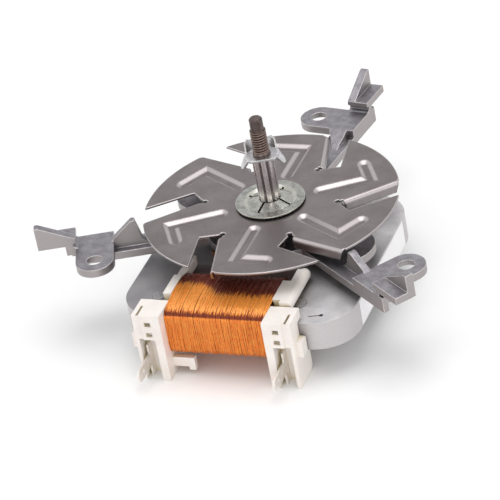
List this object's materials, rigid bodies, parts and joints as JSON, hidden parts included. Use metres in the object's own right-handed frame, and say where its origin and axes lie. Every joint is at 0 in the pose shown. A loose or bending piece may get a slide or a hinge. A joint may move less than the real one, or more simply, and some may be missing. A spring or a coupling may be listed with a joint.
{
  "type": "oven fan motor",
  "caption": "Shaded-pole motor with a cooling disc and a cast star bracket whose ears bolt to an oven's wall; its threaded shaft turns the hot-air fan.",
  "frame": {"origin": "centre of the hole circle, on the face of the ears that meets the oven's wall", "axes": "+Z along the shaft towards the fan wheel; +X along the coil; the coil and its terminals lie at -Y"},
  "size_m": [0.1514, 0.1562, 0.073],
  "materials": {
    "shaft_steel": "dark burnished steel",
    "rotor_iron": "ground laminations",
    "cage_aluminium": "cast aluminium",
    "thrust_plastic": "fibre washer",
    "disc_steel": "satin pressed sheet",
    "clip_zinc": "zinc plated spring steel",
    "sleeve_aluminium": "drawn satin aluminium",
    "petal_zinc": "bright plated",
    "bracket_casting": "die casting as cast",
    "bush_bronze": "oil-filled sintered bronze",
    "oil_felt": "oiled felt",
    "spring_steel": "bare spring steel",
    "stack_steel": "lacquered lamination pack",
    "rivet_steel": "bare steel",
    "ring_copper": "bare copper",
    "enamelled_wire": "orange enamelled copper wire",
    "bobbin_plastic": "moulded glass-filled plastic",
    "tab_tin": "tinned brass",
    "screw_zinc": "zinc plated",
    "label_film": "bare white film"
  },
  "bodies": {
    "frame": {"mounting_bracket": "bracket_casting", "front_bearing": "bush_bronze", "front_felt": "oil_felt", "front_retainer": "spring_steel", "rear_bracket": "bracket_casting", "rear_bearing": "bush_bronze", "rear_felt": "oil_felt", "rear_retainer": "spring_steel", "stator_stack": "stack_steel", "coil_core": "stack_steel", "stack_rivets": "rivet_steel", "shading_rings": "ring_copper", "coil": "enamelled_wire", "bobbin": "bobbin_plastic", "left_terminal": "tab_tin", "right_terminal": "tab_tin", "bracket_screws": "screw_zinc", "label": "label_film"},
    "rotor": {"shaft": "shaft_steel", "rotor_core": "rotor_iron", "rotor_bars": "cage_aluminium", "front_end_ring": "cage_aluminium", "rear_end_ring": "cage_aluminium", "front_thrust_washer": "thrust_plastic", "rear_thrust_washer": "thrust_plastic", "cooling_disc": "disc_steel", "push_washer": "clip_zinc", "fluted_sleeve": "sleeve_aluminium", "petal_washer": "petal_zinc"}
  },
  "joints": [
    {"name": "rotor_spin", "type": "hinge", "parent": "frame", "child": "rotor", "pos_m": [0, 0, 0], "axis": [0, 0, 1], "continuous": true}
  ]
}
